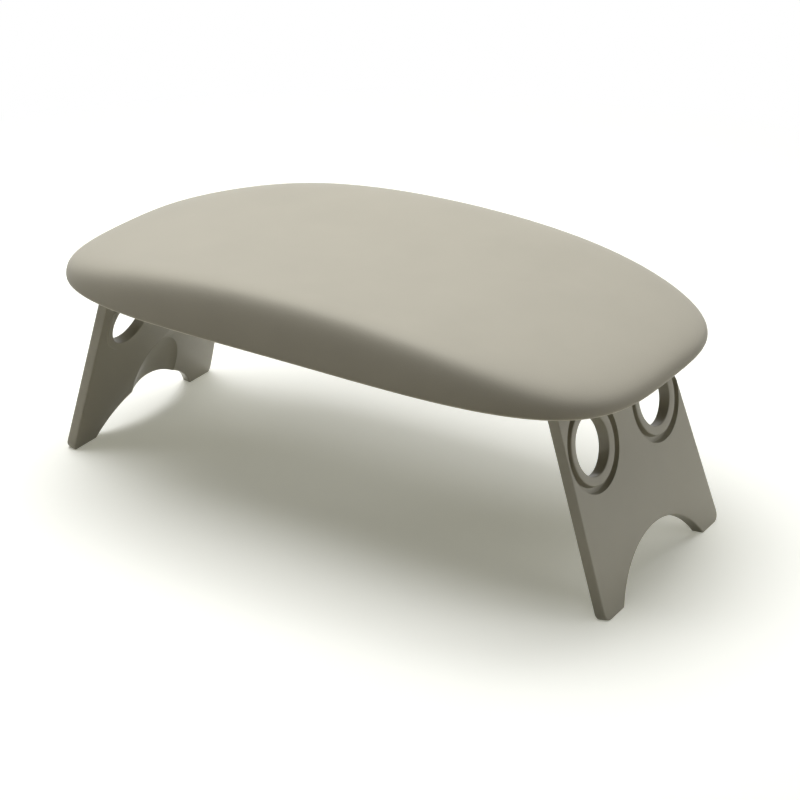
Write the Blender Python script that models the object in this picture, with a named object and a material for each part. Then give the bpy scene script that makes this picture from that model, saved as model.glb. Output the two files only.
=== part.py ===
# Manicure hand rest: an arched, padded arm rest on two splayed moulded legs.
# Metres, +Z up, length along X, the client's side is -Y, feet on z = 0.
import bpy
import bmesh
import numpy as np
from math import cos, sin, tan, pi, radians, hypot, asin
from mathutils import Matrix, Vector

# Pad, outside
HALF_LENGTH = 0.150
HALF_DEPTH = 0.0827
FRONT_SQUARENESS = 3.67
BACK_SQUARENESS = 3.28
RIM_HEIGHT = 0.0965
RIM_ARCH = 0.0025
CROWN = 0.0248
CROWN_FALL_2 = -0.0101
CROWN_FALL_4 = -0.0077
CROWN_FALL_6 = 0.0042
TILT = 0.0007
TILT_TO_ENDS = -0.0022
SADDLE = 0.0040
SADDLE_TO_ENDS = -0.0102
SHOULDER_SHARPNESS = 12.8
SHOULDER_BACKWARD = -8.1
SHOULDER_ENDS = 2.5
WALL_SHARPNESS = 2.70
WALL_BACKWARD = 0.64
WALL_ENDS = 0.95
SHOULDER_START = 0.70

# Pad, layers
FIT_GAP = 0.0003
COVER_THICKNESS = 0.0012
HEM_CORNER = 0.0012
HEM_WIDTH = 0.012
BOARD_THICKNESS = 0.003
WALL_PLAY = 0.0010
FOAM_PLAY = 0.0002
CUT_CLEAR = 0.001

# Legs
FOOT_OVERHANG = 0.0002
LEG_REACH = HALF_LENGTH + FOOT_OVERHANG
LEG_LEAN = radians(17.5)
LEG_THICKNESS = 0.0053
EDGE_SLOPE_LENGTH = 0.080
FRONT_EDGE_FLOOR = 0.0527
FRONT_EDGE_UP = 0.0515
BACK_EDGE_FLOOR = 0.0564
BACK_EDGE_UP = 0.0472
EDGE_ROUND = 0.0017
FOOT_CORNER = 0.005
FOOT_INNER_CORNER = 0.003
FOOT_TRIM = 0.0003
PANEL_SETDOWN = 0.001
ARCH_RADIUS = 0.0447
ARCH_DROP = 0.0227
ARCH_OFFSET = 0.0013
HOLE_RADIUS = 0.0137
RING_RADIUS = 0.0173
RECESS_RADIUS = 0.0209
RECESS_EDGE = 0.0003
GROOVE_DEPTH = 0.0016
GROOVE_DRAFT = 0.0004
RING_SINK = 0.0001
RING_ROUND = 0.0007
BORE_LIP = 0.0018
HOLE_HEIGHT = 0.0725
HOLE_SPACING = 0.0283
HOLE_OFFSET = -0.0015
SCOOP_HALF_WIDTH = 0.017
SCOOP_HEIGHT = 0.0226
SCOOP_RISE = 0.0006
SCOOP_DEPTH = 0.0028
SCOOP_OFFSET = 0.0030
SCOOP_CLEAR = 0.00005

# Flanges and screws
FLANGE_THICKNESS = 0.0035
FLANGE_WIDTH = 0.025
FLANGE_HALF_DEPTH = 0.046
FLANGE_SETBACK = 0.0004
FLANGE_FILLET = 0.005
FLANGE_ROOT = 0.0125
FILLET_BITE = 0.0002
FLANGE_CORNER = 0.006
SCREW_SPACING = 0.024
SCREW_INSET = 0.0105
SHANK_RADIUS = 0.0017
THREAD_BITE = 0.0045
TIP_LENGTH = 0.0012
TIP_INSET = 0.0007
HEAD_RADIUS = 0.0036
HEAD_HEIGHT = 0.0024
HEAD_RIM = 0.0008
HEAD_ROUND = 0.0016
DRIVE_RADIUS = 0.0014
DRIVE_DEPTH = 0.0012
BOSS_RADIUS = 0.0045
BOSS_HEIGHT = 0.007

# Mesh density
OUTLINE_STEPS = 60
SHOULDER_STEPS = 11
HOLE_STEPS = 24
ARC_STEPS = 18
SCREW_STEPS = 10
POST_STEPS = 10
CAP_SPACING = 0.03
NUDGE = 0.002


def clear_scene():
    for old in list(bpy.data.objects):
        bpy.data.objects.remove(old, do_unlink=True)


def finish_mesh(bm, name):
    bmesh.ops.recalc_face_normals(bm, faces=bm.faces)
    mesh = bpy.data.meshes.new(name)
    bm.to_mesh(mesh)
    bm.free()
    obj = bpy.data.objects.new(name, mesh)
    bpy.context.scene.collection.objects.link(obj)
    return obj


def make_cutter(bm, name):
    obj = finish_mesh(bm, name)
    obj.hide_render = True
    obj.display_type = 'WIRE'
    return obj


def boolean(obj, cutter, operation):
    mod = obj.modifiers.new(operation.lower(), 'BOOLEAN')
    mod.operation = operation
    mod.solver = 'EXACT'
    mod.object = cutter


def give_material(obj, name, colour, roughness, metallic=0.0):
    mat = bpy.data.materials.new(name)
    mat.use_nodes = True
    shader = mat.node_tree.nodes['Principled BSDF']
    shader.inputs['Base Color'].default_value = (*colour, 1.0)
    shader.inputs['Roughness'].default_value = roughness
    shader.inputs['Metallic'].default_value = metallic
    obj.data.materials.append(mat)


def shade_round(obj, degrees):
    obj.data.shade_smooth()
    obj.data.set_sharp_from_angle(angle=radians(degrees))


# The underside of the pad bows up gently between its ends
def rim_drop(x):
    return RIM_ARCH * (x / HALF_LENGTH) ** 2


# Lowers a finished layer of the pad by that bow
def bow(bm):
    for v in bm.verts:
        v.co.z -= rim_drop(v.co.x)


# Rounded-rectangle plan outline, one unit in each direction
def outline_unit(angle):
    c = cos(angle)
    s = sin(angle)
    power = 2.0 / (FRONT_SQUARENESS if s < 0.0 else BACK_SQUARENESS)
    return np.sign(c) * abs(c) ** power, np.sign(s) * abs(s) ** power


# Angles that split the outline into equal lengths
def outline_angles():
    dense = np.linspace(0.0, 2.0 * pi, 6001)
    points = np.array([outline_unit(a) for a in dense]) * (HALF_LENGTH, HALF_DEPTH)
    steps = np.hypot(*np.diff(points, axis=0).T)
    run = np.concatenate([[0.0], np.cumsum(steps)])
    return np.interp(np.linspace(0.0, run[-1], OUTLINE_STEPS, endpoint=False), run, dense)


# Plan outline moved inwards by an even distance
def outline_point(angle, inset):
    here = Vector(outline_unit(angle))
    ahead = Vector(outline_unit(angle + NUDGE / 4.0))
    behind = Vector(outline_unit(angle - NUDGE / 4.0))
    scale = Vector((HALF_LENGTH, HALF_DEPTH))
    along = (ahead - behind) * scale
    outward = Vector((along.y, -along.x)).normalized()
    point = here * scale - outward * inset
    return point.x, point.y


# How sharply the top rolls over into the side wall, which differs round the rim
def shoulder(angle):
    top = SHOULDER_SHARPNESS + SHOULDER_BACKWARD * sin(angle) + SHOULDER_ENDS * cos(angle) ** 2
    wall = WALL_SHARPNESS + WALL_BACKWARD * sin(angle) + WALL_ENDS * cos(angle) ** 2
    return top, wall


def pad_point(angle, radius, fill):
    ux, uy = outline_unit(angle)
    along = radius * ux
    across = radius * uy
    height = CROWN + CROWN_FALL_2 * along ** 2 + CROWN_FALL_4 * along ** 4 + CROWN_FALL_6 * along ** 6
    height += across * (TILT + TILT_TO_ENDS * along ** 2)
    height += across ** 2 * (SADDLE + SADDLE_TO_ENDS * along ** 2)
    return Vector((along * HALF_LENGTH, across * HALF_DEPTH, RIM_HEIGHT + height * fill))


# One step of the way from the crown (0) to the rim (1), as radius and fill
def pad_step(angle, step):
    top, wall = shoulder(angle)
    if step <= 0.0:
        radius = SHOULDER_START * (1.0 + step)
        return radius, (1.0 - radius ** top) ** (1.0 / wall)
    start = asin(SHOULDER_START ** (top / 2.0))
    turn = start + (pi / 2.0 - start) * step
    return sin(turn) ** (2.0 / top), max(cos(turn), 0.0) ** (2.0 / wall)


# A point of the pad's surface, moved straight in by the given depth
def pad_surface(angle, step, depth):
    point = pad_point(angle, *pad_step(angle, step))
    low = min(step, 1.0 - NUDGE / 2.0)
    inner = pad_point(angle, *pad_step(angle, low - NUDGE))
    outer = pad_point(angle, *pad_step(angle, low + NUDGE / 4.0))
    left = pad_point(angle - NUDGE, *pad_step(angle - NUDGE, low))
    right = pad_point(angle + NUDGE, *pad_step(angle + NUDGE, low))
    normal = (outer - inner).cross(right - left).normalized()
    return point - normal * depth


def dome_rings(angles, depth, steps):
    return [[pad_surface(a, step, depth) for a in angles] for step in steps]


def flat_ring(angles, inset, height):
    return [Vector((*outline_point(a, inset), height)) for a in angles]


def close_with_fan(bm, loop, tip):
    middle = bm.verts.new(tip)
    for here, following in zip(loop, loop[1:] + loop[:1]):
        bm.faces.new((here, following, middle))


# Skin through a list of rings, left open at both ends, which it hands back
def skin_rings(bm, rings):
    loops = [[bm.verts.new(p) for p in ring] for ring in rings]
    for upper, lower in zip(loops, loops[1:]):
        for i in range(OUTLINE_STEPS):
            j = (i + 1) % OUTLINE_STEPS
            bm.faces.new((upper[i], upper[j], lower[j], lower[i]))
    return loops[0], loops[-1]


# A flat cap is cut across so that it can follow the bow of the underside
def cut_across(bm):
    for x in np.arange(CAP_SPACING - HALF_LENGTH, HALF_LENGTH - CAP_SPACING / 2.0, CAP_SPACING):
        faces = [f for f in bm.faces if len(f.verts) > 8]
        edges = {e for f in faces for e in f.edges}
        verts = {v for f in faces for v in f.verts}
        bmesh.ops.bisect_plane(bm, geom=faces + list(edges) + list(verts), plane_co=(x, 0.0, 0.0),
                               plane_no=(1.0, 0.0, 0.0))


clear_scene()
angles = outline_angles()
shoulder_steps = [(i + 1) / SHOULDER_STEPS for i in range(SHOULDER_STEPS)]
crown_steps = [-0.80, -0.60, -0.40, -0.20, 0.0]
ring_steps = crown_steps + shoulder_steps[:-1]
inner_steps = ring_steps[::2]
hem_top = RIM_HEIGHT + COVER_THICKNESS
board_low = hem_top + FIT_GAP
board_high = board_low + BOARD_THICKNESS
foam_low = board_high + FIT_GAP
flange_top = board_low - FIT_GAP

# Pad cover: soft skin drawn down over the edge and turned in under the board
outer_rings = dome_rings(angles, 0.0, ring_steps)
outer_rings.append(flat_ring(angles, 0.0, RIM_HEIGHT + HEM_CORNER))
for turn in (pi / 6.0, pi / 3.0, pi / 2.0):
    inset = HEM_CORNER * (1.0 - cos(turn))
    outer_rings.append(flat_ring(angles, inset, RIM_HEIGHT + HEM_CORNER * (1.0 - sin(turn))))
hem_rings = [flat_ring(angles, HEM_WIDTH, RIM_HEIGHT)]
hem_rings.append(flat_ring(angles, HEM_WIDTH, hem_top))
hem_rings.append(flat_ring(angles, COVER_THICKNESS, hem_top))
inner_rings = dome_rings(angles, COVER_THICKNESS, reversed(inner_steps))
crown = Vector((0.0, 0.0, RIM_HEIGHT + CROWN))
inner_crown = crown - Vector((0.0, 0.0, COVER_THICKNESS))
bm = bmesh.new()
outer_end, inner_end = skin_rings(bm, outer_rings + hem_rings + inner_rings)
close_with_fan(bm, outer_end, crown)
close_with_fan(bm, inner_end, inner_crown)
bow(bm)
pad_cover = finish_mesh(bm, 'pad_cover')
shade_round(pad_cover, 50)
give_material(pad_cover, 'cover_skin', (0.45, 0.43, 0.37), 0.62)


# Screw positions, shared by the board's bosses, the foam's pockets and the flanges
def face_x(height):
    return LEG_REACH - height * tan(LEG_LEAN)


flange_outer = face_x(flange_top) - FLANGE_SETBACK
flange_inner = flange_outer - FLANGE_WIDTH
screw_x = flange_inner + SCREW_INSET
screw_places = [(side * screw_x, (i - 1.5) * SCREW_SPACING) for side in (-1.0, 1.0) for i in range(4)]


def posts(radius, low, high):
    bm = bmesh.new()
    for x, y in screw_places:
        base = rim_drop(x)
        middle = Matrix.Translation((x, y, (low + high) / 2.0 - base))
        bmesh.ops.create_cone(bm, cap_ends=True, segments=POST_STEPS, radius1=radius, radius2=radius,
                              depth=high - low, matrix=middle)
    return bm


# Base board: stiff moulding under the foam, with a blind boss for each screw
board_inset = COVER_THICKNESS + FIT_GAP + WALL_PLAY
bm = bmesh.new()
low_loop = [bm.verts.new(p) for p in flat_ring(angles, board_inset, board_low)]
bottom = bm.faces.new(low_loop)
lifted = bmesh.ops.extrude_face_region(bm, geom=[bottom])
new_verts = [g for g in lifted['geom'] if isinstance(g, bmesh.types.BMVert)]
bmesh.ops.translate(bm, verts=new_verts, vec=(0.0, 0.0, BOARD_THICKNESS))
cut_across(bm)
bow(bm)
base_board = finish_mesh(bm, 'base_board')
boss_top = board_high + BOSS_HEIGHT
bosses = make_cutter(posts(BOSS_RADIUS, board_low + BOARD_THICKNESS / 2.0, boss_top), 'boss_bodies')
boolean(base_board, bosses, 'UNION')
bore_top = board_high + THREAD_BITE + 4.0 * FIT_GAP
bores = make_cutter(posts(SHANK_RADIUS + FIT_GAP, board_low - CUT_CLEAR, bore_top), 'boss_bores')
boolean(base_board, bores, 'DIFFERENCE')
shade_round(base_board, 30)
give_material(base_board, 'board_plastic', (0.29, 0.27, 0.23), 0.55)

# Foam pad: one block that fills the cover, with a pocket over each boss
foam_depth = COVER_THICKNESS + FIT_GAP + FOAM_PLAY
foam_rings = dome_rings(angles, foam_depth, inner_steps[:-1])
foam_rings.append(flat_ring(angles, foam_depth + WALL_PLAY, foam_low))
foam_crown = crown - Vector((0.0, 0.0, foam_depth))
bm = bmesh.new()
top_end, bottom_end = skin_rings(bm, foam_rings)
close_with_fan(bm, top_end, foam_crown)
bm.faces.new(bottom_end)
cut_across(bm)
bow(bm)
foam_pad = finish_mesh(bm, 'foam_pad')
pocket_top = boss_top + FIT_GAP
pockets = make_cutter(posts(BOSS_RADIUS + FIT_GAP, foam_low - CUT_CLEAR, pocket_top), 'foam_pockets')
boolean(foam_pad, pockets, 'DIFFERENCE')
shade_round(foam_pad, 50)
give_material(foam_pad, 'foam', (0.80, 0.78, 0.70), 0.90)


# Legs
def leg_frame(side):
    width = Vector((0.0, 1.0, 0.0))
    slope = Vector((-sin(LEG_LEAN), 0.0, cos(LEG_LEAN)))
    outward = Vector((cos(LEG_LEAN), 0.0, sin(LEG_LEAN)))
    turn = Matrix((width, slope, outward)).transposed().to_4x4()
    placed = Matrix.Translation((LEG_REACH, 0.0, 0.0)) @ turn
    return Matrix.Scale(side, 4, (1.0, 0.0, 0.0)) @ placed


def edge_width(floor_width, upper_width, slope):
    return floor_width + (upper_width - floor_width) * slope / EDGE_SLOPE_LENGTH


# Panel outline across (u) and up the slope (v), with the arch between the feet
def panel_outline():
    foot = -FOOT_TRIM
    head = flange_top / cos(LEG_LEAN) + 2.0 * FLANGE_THICKNESS
    reach = np.sqrt(ARCH_RADIUS ** 2 - (ARCH_DROP + foot) ** 2)
    start = np.arctan2(ARCH_DROP + foot, -reach)
    end = np.arctan2(ARCH_DROP + foot, reach)
    arch = []
    for i in range(ARC_STEPS + 1):
        a = start + (end - start) * i / ARC_STEPS
        arch.append((ARCH_OFFSET + ARCH_RADIUS * cos(a), ARCH_RADIUS * sin(a) - ARCH_DROP))
    back = [(edge_width(BACK_EDGE_FLOOR, BACK_EDGE_UP, v), v) for v in (foot, head)]
    front = [(-edge_width(FRONT_EDGE_FLOOR, FRONT_EDGE_UP, v), v) for v in (head, foot)]
    return arch + back + front


def round_corner(bm, place, offset, segments):
    verts = [v for v in bm.verts if hypot(v.co.x - place[0], v.co.y - place[1]) < 1e-6]
    bmesh.ops.bevel(bm, geom=verts, offset=offset, segments=segments, profile=0.5,
                    affect='VERTICES', clamp_overlap=True, material=-1)


def trim(bm, height, keep_above):
    direction = (0.0, 0.0, -1.0 if keep_above else 1.0)
    everything = list(bm.verts) + list(bm.edges) + list(bm.faces)
    bmesh.ops.bisect_plane(bm, geom=everything, plane_co=(0.0, 0.0, height), plane_no=direction,
                           clear_outer=True)
    bmesh.ops.holes_fill(bm, edges=[e for e in bm.edges if e.is_boundary], sides=0)


def build_panel(side):
    bm = bmesh.new()
    outline = panel_outline()
    bm.faces.new([bm.verts.new((u, v, 0.0)) for u, v in outline])
    for place in (outline[-1], outline[ARC_STEPS + 1]):
        round_corner(bm, place, FOOT_CORNER, 5)
    for place in (outline[0], outline[ARC_STEPS]):
        round_corner(bm, place, FOOT_INNER_CORNER, 3)
    pushed = bmesh.ops.extrude_face_region(bm, geom=list(bm.faces))
    verts = [g for g in pushed['geom'] if isinstance(g, bmesh.types.BMVert)]
    bmesh.ops.translate(bm, verts=verts, vec=(0.0, 0.0, -LEG_THICKNESS))
    rims = [e for e in bm.edges if abs(e.verts[0].co.z - e.verts[1].co.z) < 1e-7]
    bmesh.ops.bevel(bm, geom=rims, offset=EDGE_ROUND, segments=3, profile=0.5,
                    affect='EDGES', clamp_overlap=True, material=-1)
    everything = list(bm.verts) + list(bm.edges) + list(bm.faces)
    bmesh.ops.bisect_plane(bm, geom=everything, plane_co=(HOLE_OFFSET, 0.0, 0.0), plane_no=(1.0, 0.0, 0.0))
    bm.transform(leg_frame(side))
    trim(bm, 0.0, True)
    trim(bm, flange_top - rim_drop(flange_outer) - PANEL_SETDOWN, False)
    return bm


# Flange profile seen from the front: flat top under the board, fillet into the panel
def flange_profile():
    def top(x):
        return flange_top - rim_drop(x)

    def inner_face(z):
        return face_x(z) - LEG_THICKNESS / cos(LEG_LEAN)

    middle = (flange_inner + flange_outer) / 2.0
    points = [(flange_inner, top(flange_inner)), (middle, top(middle)), (flange_outer, top(flange_outer))]
    under = top(flange_outer) - FLANGE_THICKNESS
    points.append((inner_face(under - FLANGE_ROOT) + LEG_THICKNESS / 2.0, under - FLANGE_ROOT))
    centre_z = under - FLANGE_FILLET
    centre_x = inner_face(centre_z) + FILLET_BITE - FLANGE_FILLET / cos(LEG_LEAN)
    for i in range(6):
        a = LEG_LEAN + (pi / 2.0 - LEG_LEAN) * i / 5.0
        points.append((centre_x + FLANGE_FILLET * cos(a), centre_z + FLANGE_FILLET * sin(a)))
    points.append((flange_inner, top(flange_inner) - FLANGE_THICKNESS))
    return points


def build_flange(side):
    bm = bmesh.new()
    profile = flange_profile()
    bm.faces.new([bm.verts.new((x, -FLANGE_HALF_DEPTH, z)) for x, z in profile])
    pushed = bmesh.ops.extrude_face_region(bm, geom=list(bm.faces))
    verts = [g for g in pushed['geom'] if isinstance(g, bmesh.types.BMVert)]
    bmesh.ops.translate(bm, verts=verts, vec=(0.0, 2.0 * FLANGE_HALF_DEPTH, 0.0))
    corners = [e for e in bm.edges if all(abs(v.co.x - flange_inner) < 1e-7 for v in e.verts)
               and abs(e.verts[0].co.y - e.verts[1].co.y) < 1e-7]
    bmesh.ops.bevel(bm, geom=corners, offset=FLANGE_CORNER, segments=4, profile=0.5,
                    affect='EDGES', clamp_overlap=True, material=-1)
    bm.transform(Matrix.Scale(side, 4, (1.0, 0.0, 0.0)))
    return bm


# Section of everything that is cut out round one hole: recess, groove, ring, bore and inner lip
def hole_section():
    section = [(0.0, CUT_CLEAR), (RECESS_RADIUS + RECESS_EDGE + CUT_CLEAR, CUT_CLEAR)]
    section.append((RECESS_RADIUS, -RECESS_EDGE))
    section.append((RECESS_RADIUS - GROOVE_DRAFT, -GROOVE_DEPTH))
    section.append((RING_RADIUS + GROOVE_DRAFT, -GROOVE_DEPTH))
    turns = (0.0, pi / 4.0, pi / 2.0)
    for turn in turns:
        drop = RING_ROUND * (1.0 - sin(turn))
        section.append((RING_RADIUS - RING_ROUND * (1.0 - cos(turn)), -RING_SINK - drop))
    for turn in reversed(turns):
        drop = RING_ROUND * (1.0 - sin(turn))
        section.append((HOLE_RADIUS + RING_ROUND * (1.0 - cos(turn)), -RING_SINK - drop))
    for turn in turns[:-1]:
        rise = BORE_LIP * (1.0 - sin(turn))
        section.append((HOLE_RADIUS + BORE_LIP * (1.0 - cos(turn)), -LEG_THICKNESS + rise))
    section.append((HOLE_RADIUS + BORE_LIP + CUT_CLEAR, -LEG_THICKNESS - CUT_CLEAR))
    section.append((0.0, -LEG_THICKNESS - CUT_CLEAR))
    return section


def spin_section(bm, section, centre):
    verts = [bm.verts.new((centre[0] + r, centre[1], h)) for r, h in section]
    edges = [bm.edges.new(pair) for pair in zip(verts, verts[1:])]
    bmesh.ops.spin(bm, geom=verts + edges, cent=(*centre, 0.0), axis=(0.0, 0.0, 1.0),
                   angle=2.0 * pi, steps=HOLE_STEPS, use_merge=True)


def build_leg_cuts(side):
    bm = bmesh.new()
    for place in (-HOLE_SPACING, HOLE_SPACING):
        spin_section(bm, hole_section(), (HOLE_OFFSET + place, HOLE_HEIGHT))
    bmesh.ops.remove_doubles(bm, verts=bm.verts, dist=1e-6)
    scoop_middle = ARCH_RADIUS - ARCH_DROP + SCOOP_RISE
    scoop_place = Matrix.Translation((SCOOP_OFFSET, scoop_middle, -LEG_THICKNESS - SCOOP_CLEAR))
    scoop_size = Matrix.Diagonal((SCOOP_HALF_WIDTH, SCOOP_HEIGHT, SCOOP_DEPTH, 1.0))
    bmesh.ops.create_uvsphere(bm, u_segments=24, v_segments=10, radius=1.0, matrix=scoop_place @ scoop_size)
    bm.transform(leg_frame(side))
    under = flange_top - rim_drop(screw_x) - FLANGE_THICKNESS
    for x, y in screw_places:
        if x * side < 0.0:
            continue
        middle = Matrix.Translation((x, y, under + FLANGE_THICKNESS / 2.0))
        bmesh.ops.create_cone(bm, cap_ends=True, segments=POST_STEPS, radius1=SHANK_RADIUS + FIT_GAP,
                              radius2=SHANK_RADIUS + FIT_GAP, depth=FLANGE_THICKNESS + 2.0 * CUT_CLEAR,
                              matrix=middle)
    return bm


for side, name in ((-1.0, 'left_leg'), (1.0, 'right_leg')):
    leg = finish_mesh(build_panel(side), name)
    boolean(leg, make_cutter(build_flange(side), name + '_flange_body'), 'UNION')
    boolean(leg, make_cutter(build_leg_cuts(side), name + '_cuts'), 'DIFFERENCE')
    shade_round(leg, 32)
    give_material(leg, name + '_plastic', (0.40, 0.38, 0.31), 0.45)


# Screws: pan-head, driven up through the flange into the board's bosses
def build_screw(place):
    x, y = place
    seat = flange_top - rim_drop(x) - FLANGE_THICKNESS - FIT_GAP
    tip_height = board_high + THREAD_BITE - rim_drop(x)
    section = [(0.0, tip_height), (SHANK_RADIUS - TIP_INSET, tip_height)]
    section += [(SHANK_RADIUS, tip_height - TIP_LENGTH), (SHANK_RADIUS, seat), (HEAD_RADIUS, seat)]
    for turn in (0.0, pi / 4.0, pi / 2.0):
        round_drop = (HEAD_HEIGHT - HEAD_RIM) * sin(turn)
        section.append((HEAD_RADIUS - HEAD_ROUND * (1.0 - cos(turn)), seat - HEAD_RIM - round_drop))
    section.append((0.0, seat - HEAD_HEIGHT))
    bm = bmesh.new()
    verts = [bm.verts.new((x + r, y, h)) for r, h in section]
    edges = [bm.edges.new(pair) for pair in zip(verts, verts[1:])]
    bmesh.ops.spin(bm, geom=verts + edges, cent=(x, y, 0.0), axis=(0.0, 0.0, 1.0),
                   angle=2.0 * pi, steps=SCREW_STEPS, use_merge=True)
    bmesh.ops.remove_doubles(bm, verts=bm.verts, dist=1e-6)
    return bm, seat - HEAD_HEIGHT


for index, place in enumerate(screw_places):
    owner = 'left_leg' if place[0] < 0.0 else 'right_leg'
    name = f'{owner}_screw_{index % 4 + 1}'
    bm, face = build_screw(place)
    screw = finish_mesh(bm, name)
    drive = bmesh.new()
    bmesh.ops.create_cone(drive, cap_ends=True, segments=6, radius1=DRIVE_RADIUS, radius2=DRIVE_RADIUS,
                          depth=2.0 * DRIVE_DEPTH, matrix=Matrix.Translation((*place, face)))
    boolean(screw, make_cutter(drive, name + '_drive'), 'DIFFERENCE')
    shade_round(screw, 35)
    give_material(screw, name + '_steel', (0.55, 0.55, 0.56), 0.30, 1.0)
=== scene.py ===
import bpy
import bmesh
import numpy as np
from math import acos, asin, atan2, cos, hypot, pi, radians, sin, tan
from mathutils import Matrix, Vector


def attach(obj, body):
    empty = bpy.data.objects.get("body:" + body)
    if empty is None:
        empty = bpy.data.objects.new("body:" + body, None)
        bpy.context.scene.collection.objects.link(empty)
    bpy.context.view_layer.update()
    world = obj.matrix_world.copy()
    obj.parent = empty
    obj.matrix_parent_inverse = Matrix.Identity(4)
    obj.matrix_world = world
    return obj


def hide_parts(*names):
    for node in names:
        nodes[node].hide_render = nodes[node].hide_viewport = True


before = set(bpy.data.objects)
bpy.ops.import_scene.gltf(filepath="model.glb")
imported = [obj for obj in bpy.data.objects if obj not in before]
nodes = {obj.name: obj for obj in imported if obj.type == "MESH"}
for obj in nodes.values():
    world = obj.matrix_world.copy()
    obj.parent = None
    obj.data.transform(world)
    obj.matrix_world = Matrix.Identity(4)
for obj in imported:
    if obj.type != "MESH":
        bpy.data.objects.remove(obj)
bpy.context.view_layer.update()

# Pad cover: one piece of soft matte imitation leather over an arched foam block.
# It is drawn tight over the rim and glued under the board, so it has no seam on show.
pad_half_length = 0.150
pad_half_depth = 0.0827
front_squareness = 3.67
back_squareness = 3.28
rim_height = 0.0965
rim_arch = 0.0025
hem_corner = 0.0024
hem_width = 0.012
skin_thickness = 0.0012
around = 224
crown_rings = 14
wall_rings = 26
corner_rings = 6
inner_radius = 0.70

# Heights over the rim, as even powers of the way out to the pad's ends
crown_heights = (0.0248, -0.0101, -0.0077, 0.0042)
tilt_heights = (0.0007, -0.0022)
saddle_heights = (0.0040, -0.0102)

# How far out the crown stays flat and how far up the wall stays steep: a middle figure,
# and what is added to it towards the back, at the two ends and along the front
crown_flatness = (12.8, -8.1, 2.5, 4.5)
wall_steepness = (2.70, 0.64, 0.95, 0.7)


# The rim from above is a rounded oblong, squarer along the front than along the back
def outline_unit(angle):
    squareness = front_squareness if sin(angle) < 0.0 else back_squareness
    along = cos(angle)
    across = sin(angle)
    return (np.sign(along) * abs(along) ** (2.0 / squareness),
            np.sign(across) * abs(across) ** (2.0 / squareness))


# Angles are shared out so that the skin's points are evenly spaced round the rim
fine_angles = np.linspace(-pi, pi, 8001)
fine_points = np.array([outline_unit(a) for a in fine_angles]) * (pad_half_length, pad_half_depth)
rim_run = np.concatenate([[0.0], np.cumsum(np.hypot(*np.diff(fine_points, axis=0).T))])


def even_angle(angle):
    run = (angle + pi) / (2.0 * pi) * rim_run[-1]
    return float(np.interp(run, rim_run, fine_angles))


def even_powers(value, factors):
    return sum(factor * value ** (2 * n) for n, factor in enumerate(factors))


def pad_height(along, across):
    crown = even_powers(along, crown_heights)
    tilt = across * even_powers(along, tilt_heights)
    saddle = across ** 2 * even_powers(along, saddle_heights)
    return crown + tilt + saddle


def roll_over(angle, figures):
    middle, back, ends, front = figures
    return (middle + back * sin(angle) + ends * cos(angle) ** 2
            + front * max(0.0, -sin(angle)) ** 2)


# The top rolls over tightly at the front and falls away gently at the back,
# down to the corner of the hem
def dome_point(angle, step):
    flatness = roll_over(angle, crown_flatness)
    steepness = roll_over(angle, wall_steepness)
    unit = outline_unit(angle)
    if step <= crown_rings:
        radius = inner_radius * step / crown_rings
        fill = (1.0 - radius ** flatness) ** (1.0 / steepness)
    else:
        start = asin(inner_radius ** (flatness / 2.0))
        end = acos((hem_corner / pad_height(*unit)) ** (steepness / 2.0))
        turn = start + (end - start) * (step - crown_rings) / wall_rings
        radius = sin(turn) ** (2.0 / flatness)
        fill = cos(turn) ** (2.0 / steepness)
    along = radius * unit[0]
    across = radius * unit[1]
    return (along * pad_half_length, across * pad_half_depth,
            rim_height + pad_height(along, across) * fill)


def rim_point(angle, inset, rise):
    small_turn = 0.0005
    unit = outline_unit(angle)
    ahead = outline_unit(angle + small_turn)
    behind = outline_unit(angle - small_turn)
    run = Vector(((ahead[0] - behind[0]) * pad_half_length,
                  (ahead[1] - behind[1]) * pad_half_depth))
    outward = Vector((run.y, -run.x)).normalized()
    return (unit[0] * pad_half_length - outward.x * inset,
            unit[1] * pad_half_depth - outward.y * inset, rim_height + rise)


# The hem's rounded corner, and its underside as far as its cut end
hem_steps = [(hem_corner * (1.0 - cos(a)), hem_corner * (1.0 - sin(a)))
             for a in np.linspace(0.0, pi / 2.0, corner_rings + 1)[1:]]
hem_steps += [(hem_width * share, 0.0) for share in (0.4, 0.7, 1.0)]
last_dome = crown_rings + wall_rings


def skin_point(angle, step):
    if step <= last_dome:
        return dome_point(angle, step)
    return rim_point(angle, *hem_steps[step - last_dome - 1])


# The rim arches with the foam, so that the pad's ends hang a little lower
def arch_drop(x):
    return rim_arch * (x / pad_half_length) ** 2


# A straight line of points is spun into a disc, and each point then goes to its place
cover_mesh = bmesh.new()
skin_rings = last_dome + len(hem_steps)
line = [cover_mesh.verts.new((float(i), 0.0, 0.0)) for i in range(skin_rings + 1)]
line_edges = [cover_mesh.edges.new(pair) for pair in zip(line, line[1:])]
bmesh.ops.spin(cover_mesh, geom=line + line_edges, cent=(0.0, 0.0, 0.0), axis=(0.0, 0.0, 1.0),
               angle=2.0 * pi, steps=around, use_merge=True)
bmesh.ops.remove_doubles(cover_mesh, verts=cover_mesh.verts, dist=0.001)
for vert in cover_mesh.verts:
    step = round(hypot(vert.co.x, vert.co.y))
    x, y, z = skin_point(even_angle(atan2(vert.co.y, vert.co.x)), step)
    vert.co = (x, y, z - arch_drop(x))
bmesh.ops.recalc_face_normals(cover_mesh, faces=cover_mesh.faces)
bmesh.ops.solidify(cover_mesh, geom=list(cover_mesh.faces), thickness=skin_thickness)


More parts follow.
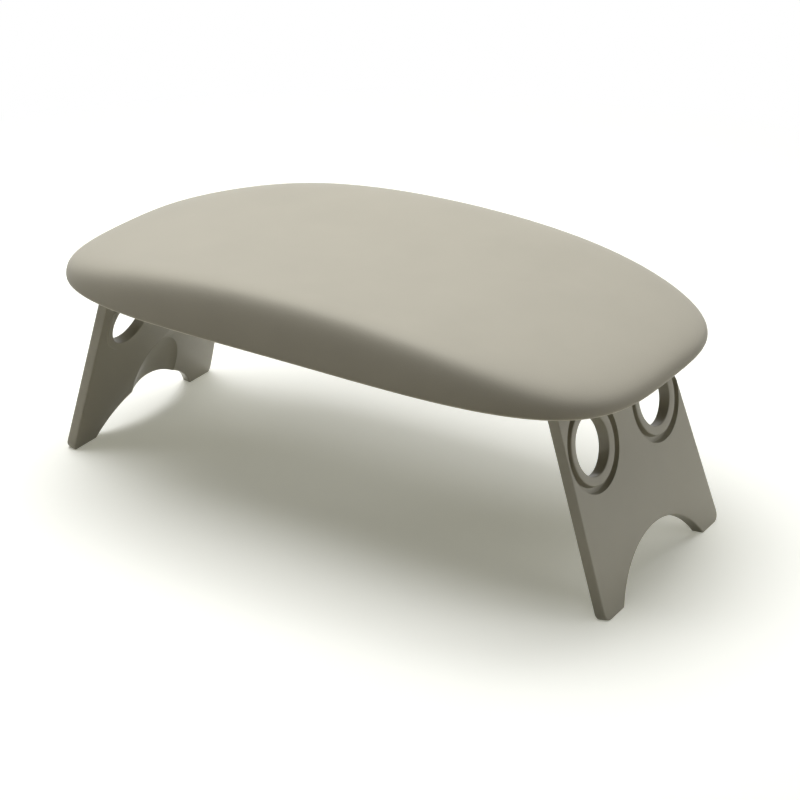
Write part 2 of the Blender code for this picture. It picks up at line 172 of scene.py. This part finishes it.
def as_piece(mesh, name, sharp_degrees):
    data = bpy.data.meshes.new(name)
    mesh.to_mesh(data)
    mesh.free()
    piece = bpy.data.objects.new(name, data)
    bpy.context.scene.collection.objects.link(piece)
    data.shade_smooth()
    data.set_sharp_from_angle(angle=radians(sharp_degrees))
    return piece


soft_cover = as_piece(cover_mesh, "soft_cover", sharp_degrees=50)


# A socket that takes part in sums, so that a finish reads as an expression
class Shade:
    def __init__(self, tree, socket):
        self.tree = tree
        self.socket = socket

    def node(self, kind, settings, values, output=0):
        made = self.tree.nodes.new("ShaderNode" + kind)
        for name, setting in settings.items():
            if name == "stops":
                for element, (position, colour) in zip(made.color_ramp.elements, setting):
                    element.position = position
                    element.color = colour
            else:
                setattr(made, name, setting)
        for name, value in values.items():
            if isinstance(value, Shade):
                self.tree.links.new(value.socket, made.inputs[name])
            else:
                made.inputs[name].default_value = value
        return Shade(self.tree, made.outputs[output])

    def math(self, operation, first, second):
        return self.node("Math", {"operation": operation}, {0: first, 1: second})

    def __add__(self, other):
        return self.math("ADD", self, other)

    def __sub__(self, other):
        return self.math("SUBTRACT", self, other)

    def __rsub__(self, other):
        return self.math("SUBTRACT", other, self)

    def __mul__(self, other):
        return self.math("MULTIPLY", self, other)

    __radd__ = __add__
    __rmul__ = __mul__

    def blend(self, first, second):
        return self.node("Mix", {"data_type": "RGBA"}, {0: self, 6: first, 7: second}, 2)

    def ramp(self, *stops):
        return self.node("ValToRGB", {"stops": stops}, {0: self})

    def noise(self, scale, detail=2.0, roughness=0.5):
        return self.node("TexNoise", {}, {"Vector": self, "Scale": scale, "Detail": detail,
                                          "Roughness": roughness})

    def bump(self, strength, distance):
        return self.node("Bump", {}, {"Height": self, "Strength": strength,
                                      "Distance": distance})


def start_finish(name, fixed):
    finish = bpy.data.materials.new(name)
    finish.use_nodes = True
    shader = finish.node_tree.nodes["Principled BSDF"]
    for socket, value in fixed.items():
        shader.inputs[socket].default_value = value
    place = Shade(finish.node_tree, None).node("TexCoord", {}, {}, "Object")
    return finish, shader, place


def connect(shader, **links):
    for name, value in links.items():
        socket = shader.inputs[name.replace("_", " ")]
        value.tree.links.new(value.socket, socket)


def dress(piece, finish):
    piece.data.materials.clear()
    piece.data.materials.append(finish)


# Fine pebbled grain, a slow mottle of tone, and a painted highlight just above the rim
black = (0.0, 0.0, 0.0, 1.0)
white = (1.0, 1.0, 1.0, 1.0)
dark_skin = (0.424, 0.400, 0.330, 1.0)
light_skin = (0.452, 0.427, 0.353, 1.0)
rim_highlight_paint = (0.70, 0.68, 0.59, 1.0)
cover_finish, shader, place = start_finish(
    "soft_matte_skin", {"Sheen Weight": 0.03, "Sheen Roughness": 0.5, "Specular IOR Level": 0.10})
wander = place.noise(700.0, detail=2.0)
pebbles = place.node("TexVoronoi", {"feature": "SMOOTH_F1"},
                     {"Vector": place, "Scale": 1500.0, "Smoothness": 0.6})
mottle = place.noise(38.0, detail=3.0, roughness=0.55)
slow = place.noise(9.0, detail=1.0)
tone = mottle * 0.6 + slow * 0.4
colour = tone.ramp((0.30, dark_skin), (0.70, light_skin))

# A painted highlight: a paler line on the hem's rounded edge, standing in for the light that edge
# catches from the bright floor. It starts just above the rim and dies out a millimetre up, at
# these rates to the metre
highlight_start = rim_height + 0.0001
highlight_end = rim_height + 0.0010
highlight_rise = 10000.0
highlight_fall = 3000.0
out = place.node("SeparateXYZ", {}, {0: place}, "X")
up = place.node("SeparateXYZ", {}, {0: place}, "Z")
level = up + out * out * (rim_arch / pad_half_length ** 2)
risen = ((level - highlight_start) * highlight_rise).ramp((0.0, black), (1.0, white))
fallen = ((level - highlight_end) * highlight_fall).ramp((0.0, black), (1.0, white))
# The painted rim highlight is blended over the skin's colour here
colour = (risen * (1.0 - fallen)).blend(colour, rim_highlight_paint)
relief = pebbles * 0.7 + wander * 0.3
connect(shader, Base_Color=colour, Roughness=0.42 + mottle * 0.10,
        Normal=relief.bump(strength=0.25, distance=0.00012))
dress(soft_cover, cover_finish)
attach(soft_cover, "root")
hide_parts("pad_cover")

# Legs: each one is a single injection-moulded ABS panel that leans outwards from the board.
# It has a rounded border, two ringed holes, an arch between its feet and a thumb scoop inside,
# and a flange at its top takes the screws. Places on it are across and up its outer face.
leg_reach = 0.1502
leg_lean = radians(17.5)
leg_thickness = 0.0053
leg_top = 0.0977
plate_corners = ((-0.0536, -0.0003), (0.0564, -0.0003), (0.04455, 0.1030), (-0.0519, 0.1030))
plate_top = leg_top - 0.0030
foot_corner = 0.005
border_round = 0.0026
arch_centre = (0.0013, -0.0227)
arch_radius = 0.0447
arch_cut_depth = 0.03
arch_segments = 128
scoop_place = (0.0030, 0.0226)
scoop_offset = 0.0020
scoop_size = (0.0184, 0.0245, 0.0054)
leg_sharp_degrees = 32
merge_distance = 1e-6


def face_at(height):
    return leg_reach - height * tan(leg_lean)


# Turns a shape drawn across and up the panel's outer face into its leaning place
lean_axes = Matrix(((0.0, 1.0, 0.0), (-sin(leg_lean), 0.0, cos(leg_lean)),
                    (cos(leg_lean), 0.0, sin(leg_lean))))
leg_place = Matrix.Translation((leg_reach, 0.0, 0.0)) @ lean_axes.transposed().to_4x4()


def push_out(mesh, depth):
    made = bmesh.ops.extrude_face_region(mesh, geom=list(mesh.faces))
    moved = [g for g in made["geom"] if isinstance(g, bmesh.types.BMVert)]
    bmesh.ops.translate(mesh, verts=moved, vec=depth)


def add_rod(mesh, radius, depth, matrix, segments, end_radius=None):
    bmesh.ops.create_cone(mesh, cap_ends=True, segments=segments, radius1=radius,
                          radius2=end_radius or radius, depth=depth, matrix=matrix)


# The blank: a tapering plate with rounded foot corners
def plate():
    mesh = bmesh.new()
    points = [mesh.verts.new((across, up, 0.0)) for across, up in plate_corners]
    mesh.faces.new(points)
    bmesh.ops.bevel(mesh, geom=points[:2], offset=foot_corner, segments=10, profile=0.5,
                    affect='VERTICES', material=-1)
    push_out(mesh, (0.0, 0.0, -leg_thickness))
    mesh.transform(leg_place)
    bmesh.ops.recalc_face_normals(mesh, faces=mesh.faces)
    return mesh


def arch_tool():
    mesh = bmesh.new()
    add_rod(mesh, arch_radius, arch_cut_depth, Matrix.Translation((*arch_centre, 0.0)),
            arch_segments)
    mesh.transform(leg_place)
    bmesh.ops.recalc_face_normals(mesh, faces=mesh.faces)
    return mesh


def cut_off_above(mesh, height):
    parts = list(mesh.verts) + list(mesh.edges) + list(mesh.faces)
    bmesh.ops.bisect_plane(mesh, geom=parts, plane_co=(0.0, 0.0, height),
                           plane_no=(0.0, 0.0, 1.0), clear_outer=True)
    bmesh.ops.holes_fill(mesh, edges=[e for e in mesh.edges if e.is_boundary], sides=0)


# Flange: a flat tongue under the board with a fillet where it turns down into the panel
flange_setback = 0.0006
flange_width = 0.0248
flange_outer = face_at(leg_top) - flange_setback
flange_inner = flange_outer - flange_width
flange_thickness = 0.0035
flange_half_depth = 0.046
flange_corner = 0.006
flange_fillet = 0.005
fillet_gap = 0.0002
flange_root = 0.0125
root_share = 0.55


def tongue():
    mesh = bmesh.new()
    inner_top = leg_top - arch_drop(flange_inner)
    outer_top = leg_top - arch_drop(flange_outer)
    under = outer_top - flange_thickness
    root = under - flange_root
    middle_z = under - flange_fillet
    middle_x = (face_at(middle_z) - leg_thickness / cos(leg_lean) + fillet_gap
                - flange_fillet / cos(leg_lean))
    section = [(flange_inner, inner_top), (flange_outer, outer_top)]
    section.append((face_at(root) - leg_thickness * root_share, root))
    section += [(middle_x + flange_fillet * cos(a), middle_z + flange_fillet * sin(a))
                for a in np.linspace(leg_lean, pi / 2.0, 12)]
    section.append((flange_inner, inner_top - flange_thickness))
    mesh.faces.new([mesh.verts.new((x, -flange_half_depth, z)) for x, z in section])
    push_out(mesh, (0.0, 2.0 * flange_half_depth, 0.0))
    ends = [e for e in mesh.edges
            if all(abs(v.co.x - flange_inner) < merge_distance for v in e.verts)
            and abs(e.verts[0].co.y - e.verts[1].co.y) < merge_distance]
    bmesh.ops.bevel(mesh, geom=ends, offset=flange_corner, segments=8, profile=0.5,
                    affect='EDGES', material=-1)
    bmesh.ops.recalc_face_normals(mesh, faces=mesh.faces)
    return mesh


# Holes: a recess whose groove leaves a dished ring standing round the bore,
# and a low collar round the bore on the inner face
hole_places = (-0.0304, 0.0268)
hole_height = 0.0725
hole_radius = 0.0134
hole_segments = 96
bore_lip = 0.0004
ring_radius = 0.0176
ring_round = 0.0006
ring_outer_depth = 0.0001
ring_inner_depth = 0.0004
recess_radius = 0.0209
recess_round = 0.0004
mouth_inset = 0.0001
groove_depth = 0.0029
collar_radius = 0.0174
collar_height = 0.0007
collar_taper = 0.0007
collar_flare = 0.0003
collar_sunk = 0.0006

# Small steps outwards and up: at the recess's mouth, and at the foot of its wall and of the ring
mouth_steps = ((0.0015, 0.001), (0.0004, 0.0))
wall_steps = ((0.0, 0.0005), (-0.0004, 0.0))
ring_steps = ((0.0006, 0.0), (0.0002, 0.0005))


# Everything removed round a hole, from the outer face in to the inner one
def hole_section():
    inner_end = -leg_thickness - collar_height
    turns = np.linspace(0.0, pi / 2.0, 6)
    section = [(0.0, mouth_steps[0][1])]
    section += [(recess_radius + out, up) for out, up in mouth_steps]
    section += [(recess_radius - mouth_inset + recess_round * cos(a),
                 -recess_round + recess_round * sin(a)) for a in np.linspace(pi / 2.5, 0.0, 5)]
    section += [(recess_radius + out, -groove_depth + up) for out, up in wall_steps]
    section += [(ring_radius + out, -groove_depth + up) for out, up in ring_steps]
    section += [(ring_radius - ring_round * (1.0 - cos(a)),
                 -ring_outer_depth - ring_round * (1.0 - sin(a))) for a in turns]
    section += [(hole_radius + ring_round * (1.0 - cos(a)),
                 -ring_inner_depth - ring_round * (1.0 - sin(a))) for a in reversed(turns)]
    section += [(hole_radius + bore_lip * (1.0 - cos(a)),
                 inner_end + bore_lip * (1.0 - sin(a))) for a in turns[:-1]]
    section += [(hole_radius + 2.0 * bore_lip, inner_end - bore_lip),
                (0.0, inner_end - bore_lip)]
    return section


def collars():
    mesh = bmesh.new()
    middle = -leg_thickness - collar_height / 2.0 + collar_sunk / 2.0
    for across in hole_places:
        add_rod(mesh, collar_radius - collar_taper, collar_height + collar_sunk,
                Matrix.Translation((across, hole_height, middle)), hole_segments,
                end_radius=collar_radius + collar_flare)
    mesh.transform(leg_place)
    bmesh.ops.recalc_face_normals(mesh, faces=mesh.faces)
    return mesh


# One set of cutters takes out the holes, the thumb scoop, the screws' clearance holes,
# and what would reach below the table's top
screws_per_leg = 4
screw_line = 0.0105
screw_spacing = 0.024
screw_clearance = 0.0020
screw_hole_middle = leg_top - 0.003
screw_hole_depth = 0.012
screw_hole_segments = 32
table_block = (0.06, 0.16, 0.02)


def cutters():
    mesh = bmesh.new()
    for across in hole_places:
        rim = [mesh.verts.new((across + r, hole_height, h)) for r, h in hole_section()]
        joins = [mesh.edges.new(pair) for pair in zip(rim, rim[1:])]
        bmesh.ops.spin(mesh, geom=rim + joins, cent=(across, hole_height, 0.0),
                       axis=(0.0, 0.0, 1.0), angle=2.0 * pi, steps=hole_segments,
                       use_merge=True)
    bmesh.ops.remove_doubles(mesh, verts=mesh.verts, dist=merge_distance)
    scoop = Matrix.Translation((*scoop_place, -leg_thickness - scoop_offset))
    bmesh.ops.create_uvsphere(mesh, u_segments=96, v_segments=40, radius=1.0,
                              matrix=scoop @ Matrix.Diagonal((*scoop_size, 1.0)))
    mesh.transform(leg_place)
    for i in range(screws_per_leg):
        from_middle = i - (screws_per_leg - 1) / 2.0
        place = (flange_inner + screw_line, from_middle * screw_spacing, screw_hole_middle)
        add_rod(mesh, screw_clearance, screw_hole_depth, Matrix.Translation(place),
                screw_hole_segments)
    table = Matrix.Translation((leg_reach, 0.0, -table_block[2] / 2.0))
    bmesh.ops.create_cube(mesh, size=1.0, matrix=table @ Matrix.Diagonal((*table_block, 1.0)))
    bmesh.ops.recalc_face_normals(mesh, faces=mesh.faces)
    return mesh


def carve(piece, tool, operation):
    step = piece.modifiers.new(operation, 'BOOLEAN')
    step.operation = operation
    step.solver = 'EXACT'
    step.object = tool


def settle(piece, name):
    shaped = piece.evaluated_get(bpy.context.evaluated_depsgraph_get())
    mesh = bmesh.new()
    mesh.from_mesh(shaped.to_mesh())
    shaped.to_mesh_clear()
    bpy.data.objects.remove(piece)
    bmesh.ops.dissolve_degenerate(mesh, edges=mesh.edges, dist=merge_distance)
    bmesh.ops.recalc_face_normals(mesh, faces=mesh.faces)
    return as_piece(mesh, name, leg_sharp_degrees)


# The border is rounded on the plain plate, and the flange and the holes come after it
blank = as_piece(plate(), "leg_blank", leg_sharp_degrees)
arch = as_piece(arch_tool(), "arch_tool", leg_sharp_degrees)
carve(blank, arch, 'DIFFERENCE')
border = blank.modifiers.new("border", 'BEVEL')
border.width = border_round
border.segments = 6
border.limit_method = 'ANGLE'
border.angle_limit = radians(30)
rounded = settle(blank, "rounded_blank")
trimmed = bmesh.new()
trimmed.from_mesh(rounded.data)
cut_off_above(trimmed, plate_top)
panel = as_piece(trimmed, "leg_panel", leg_sharp_degrees)
collar = as_piece(collars(), "leg_collars", leg_sharp_degrees)
flange = as_piece(tongue(), "leg_tongue", leg_sharp_degrees)
tools = as_piece(cutters(), "leg_cutters", leg_sharp_degrees)
carve(panel, collar, 'UNION')
carve(panel, flange, 'UNION')
carve(panel, tools, 'DIFFERENCE')
right_leg = settle(panel, "right_moulded_leg")
for tool in (rounded, arch, collar, flange, tools):
    bpy.data.objects.remove(tool)

# The left leg comes from the mirrored half of the same tool
mirrored = bmesh.new()
mirrored.from_mesh(right_leg.data)
mirrored.transform(Matrix.Scale(-1.0, 4, (1.0, 0.0, 0.0)))
bmesh.ops.reverse_faces(mirrored, faces=mirrored.faces)
left_leg = as_piece(mirrored, "left_moulded_leg", leg_sharp_degrees)

# Satin mould texture with a faint drift of tone and of gloss
dark_plastic = (0.410, 0.390, 0.312, 1.0)
light_plastic = (0.440, 0.419, 0.336, 1.0)
leg_finish, shader, place = start_finish("satin_moulding", {"Specular IOR Level": 0.45})
spark = place.noise(2600.0, detail=3.0, roughness=0.6)
drift = place.noise(22.0, detail=2.0)
tone = drift * 0.8 + spark * 0.2
colour = tone.ramp((0.35, dark_plastic), (0.65, light_plastic))
connect(shader, Base_Color=colour, Roughness=0.30 + drift * 0.08,
        Normal=spark.bump(strength=0.18, distance=0.00004))
for leg, node in ((left_leg, "left_leg"), (right_leg, "right_leg")):
    dress(leg, leg_finish)
    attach(leg, "root")
    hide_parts(node)

# Base board: a stiff ABS moulding under the foam, textured all over, which the legs screw to.
# Only its underside can be seen, inside the hem.
dark_board = (0.27, 0.255, 0.212, 1.0)
light_board = (0.31, 0.292, 0.245, 1.0)
board_finish, shader, place = start_finish("board_moulding", {"Specular IOR Level": 0.4})
spark = place.noise(1500.0, detail=3.0, roughness=0.6)
drift = place.noise(16.0, detail=2.0)
colour = drift.ramp((0.35, dark_board), (0.65, light_board))
connect(shader, Base_Color=colour, Roughness=0.52 + spark * 0.12,
        Normal=spark.bump(strength=0.3, distance=0.00008))
dress(nodes["base_board"], board_finish)

# Foam pad: open-cell upholstery foam, cut to the arch and glued to the board.
# The cover hides all of it.
shaded_foam = (0.60, 0.57, 0.49, 1.0)
pale_foam = (0.82, 0.79, 0.70, 1.0)
foam_finish, shader, place = start_finish("open_cell_foam", {"Specular IOR Level": 0.2})
cells = place.node("TexVoronoi", {}, {"Vector": place, "Scale": 900.0})
colour = cells.ramp((0.05, shaded_foam), (0.45, pale_foam))
connect(shader, Base_Color=colour, Roughness=0.9 + cells * 0.05,
        Normal=cells.bump(strength=0.6, distance=0.0004))
dress(nodes["foam_pad"], foam_finish)

# Screws: zinc-plated pan heads, four to a leg, driven up into the board's bosses.
# Plating dulls in faint cloudy patches.
dull_zinc = (0.52, 0.52, 0.51, 1.0)
bright_zinc = (0.68, 0.68, 0.70, 1.0)
screw_finish, shader, place = start_finish("zinc_plate", {"Metallic": 1.0})
cloud = place.noise(900.0, detail=3.0)
colour = cloud.ramp((0.35, dull_zinc), (0.65, bright_zinc))
connect(shader, Base_Color=colour, Roughness=0.26 + cloud * 0.16,
        Normal=cloud.bump(strength=0.2, distance=0.00003))
for side in ("left", "right"):
    for i in range(screws_per_leg):
        dress(nodes[f"{side}_leg_screw_{i + 1}"], screw_finish)

# Floor: a plain white sweep, which shows as white and keeps the rest's soft shadow.
# Only its middle takes a shadow, and further out it is evenly white from any side.
floor_half_size = 4.0
shadow_radius = 0.40
plain_radius = 0.60
lit_white = (0.985, 0.99, 0.965, 1.0)
lift = (1.0, 1.0, 0.83, 1.0)
lift_strength = 0.225
bounce = (0.57, 0.54, 0.46, 1.0)
floor_mesh = bmesh.new()
bmesh.ops.create_grid(floor_mesh, x_segments=2, y_segments=2, size=floor_half_size)
floor = as_piece(floor_mesh, "studio_floor", sharp_degrees=30)
floor_finish = bpy.data.materials.new("white_sweep")
floor_finish.use_nodes = True
tree = floor_finish.node_tree
tree.nodes.clear()


# Rays to the camera, and those of reflections and clear pieces, see floor and world as white
def shown_rays(tree):
    path = tree.nodes.new("ShaderNodeLightPath")
    camera_ray, glossy_ray, clear_ray = (
        Shade(tree, path.outputs[name])
        for name in ("Is Camera Ray", "Is Glossy Ray", "Is Transmission Ray"))
    bent_ray = glossy_ray.math("MAXIMUM", glossy_ray, clear_ray)
    return camera_ray.math("MAXIMUM", camera_ray, bent_ray)


seen = shown_rays(tree)
lit = seen.node("BsdfDiffuse", {}, {"Color": lit_white})
glow = seen.node("Emission", {}, {"Color": lift, "Strength": lift_strength})
near = seen.node("AddShader", {}, {0: lit, 1: glow})
far = seen.node("Emission", {}, {"Color": white, "Strength": 1.0})
spot = seen.node("TexCoord", {}, {}, "Object")
reach = spot.node("VectorMath", {"operation": "LENGTH"}, {0: spot}, "Value")
fade = reach.ramp((shadow_radius, black), (plain_radius, white))
shown = seen.node("MixShader", {}, {0: fade, 1: near, 2: far})
thrown = seen.node("BsdfDiffuse", {}, {"Color": bounce})
surface = seen.node("MixShader", {}, {0: seen, 1: thrown, 2: shown})
output = tree.nodes.new("ShaderNodeOutputMaterial")
tree.links.new(surface.socket, output.inputs["Surface"])
dress(floor, floor_finish)

# Studio light: two soft boxes overhead, one of them behind the rest, and a weaker one on each
# side. The world adds hardly any light and shows as white.
dim_light = (0.98, 0.99, 1.0, 1.0)
dim_strength = 0.02
world = bpy.data.worlds.new("studio")
bpy.context.scene.world = world
world.use_nodes = True
tree = world.node_tree
tree.nodes.clear()
seen = shown_rays(tree)
dim_world = seen.node("Background", {}, {"Color": dim_light, "Strength": dim_strength})
white_world = seen.node("Background", {}, {"Color": white, "Strength": 1.0})
mixed = seen.node("MixShader", {}, {0: seen, 1: dim_world, 2: white_world})
output = tree.nodes.new("ShaderNodeOutputWorld")
tree.links.new(mixed.socket, output.inputs["Surface"])


def soft_box(name, place, target, size, watts):
    data = bpy.data.lights.new(name, 'AREA')
    data.shape = 'RECTANGLE'
    data.size, data.size_y = size
    data.energy = watts
    lamp = bpy.data.objects.new(name, data)
    bpy.context.scene.collection.objects.link(lamp)
    lamp.location = place
    lamp.rotation_euler = (Vector(target) - Vector(place)).to_track_quat('-Z', 'Y').to_euler()


pad_middle = (0.0, 0.0, 0.08)
soft_box("overhead_box", (-0.22, -0.04, 1.0), pad_middle, size=(0.8, 0.8), watts=8.8)
soft_box("back_box", (-0.10, 0.45, 1.0), pad_middle, size=(0.8, 0.6), watts=3.6)
soft_box("left_box", (-1.3, -0.7, 0.55), (-0.05, 0.0, 0.08), size=(0.7, 0.7), watts=0.8)
soft_box("right_box", (1.3, 0.5, 0.42), (0.05, 0.0, 0.08), size=(0.7, 0.7), watts=3.7)

# Camera: a long lens about a metre away, at the photograph's viewing angle.
# Its place was fitted to the pad's outline, the legs' edges and the feet.
camera_place = (0.5096, -0.7714, 0.4955)
camera_elevation = 26.03
camera_azimuth = 32.88
camera_data = bpy.data.cameras.new("photo_view")
camera_data.lens = 99.0
camera_data.sensor_width = 36.0
camera = bpy.data.objects.new("photo_view", camera_data)
bpy.context.scene.collection.objects.link(camera)
camera.location = camera_place
camera.rotation_euler = (radians(90.0 - camera_elevation), 0.0, radians(camera_azimuth))
bpy.context.scene.camera = camera
bpy.context.scene.view_settings.view_transform = 'Standard'
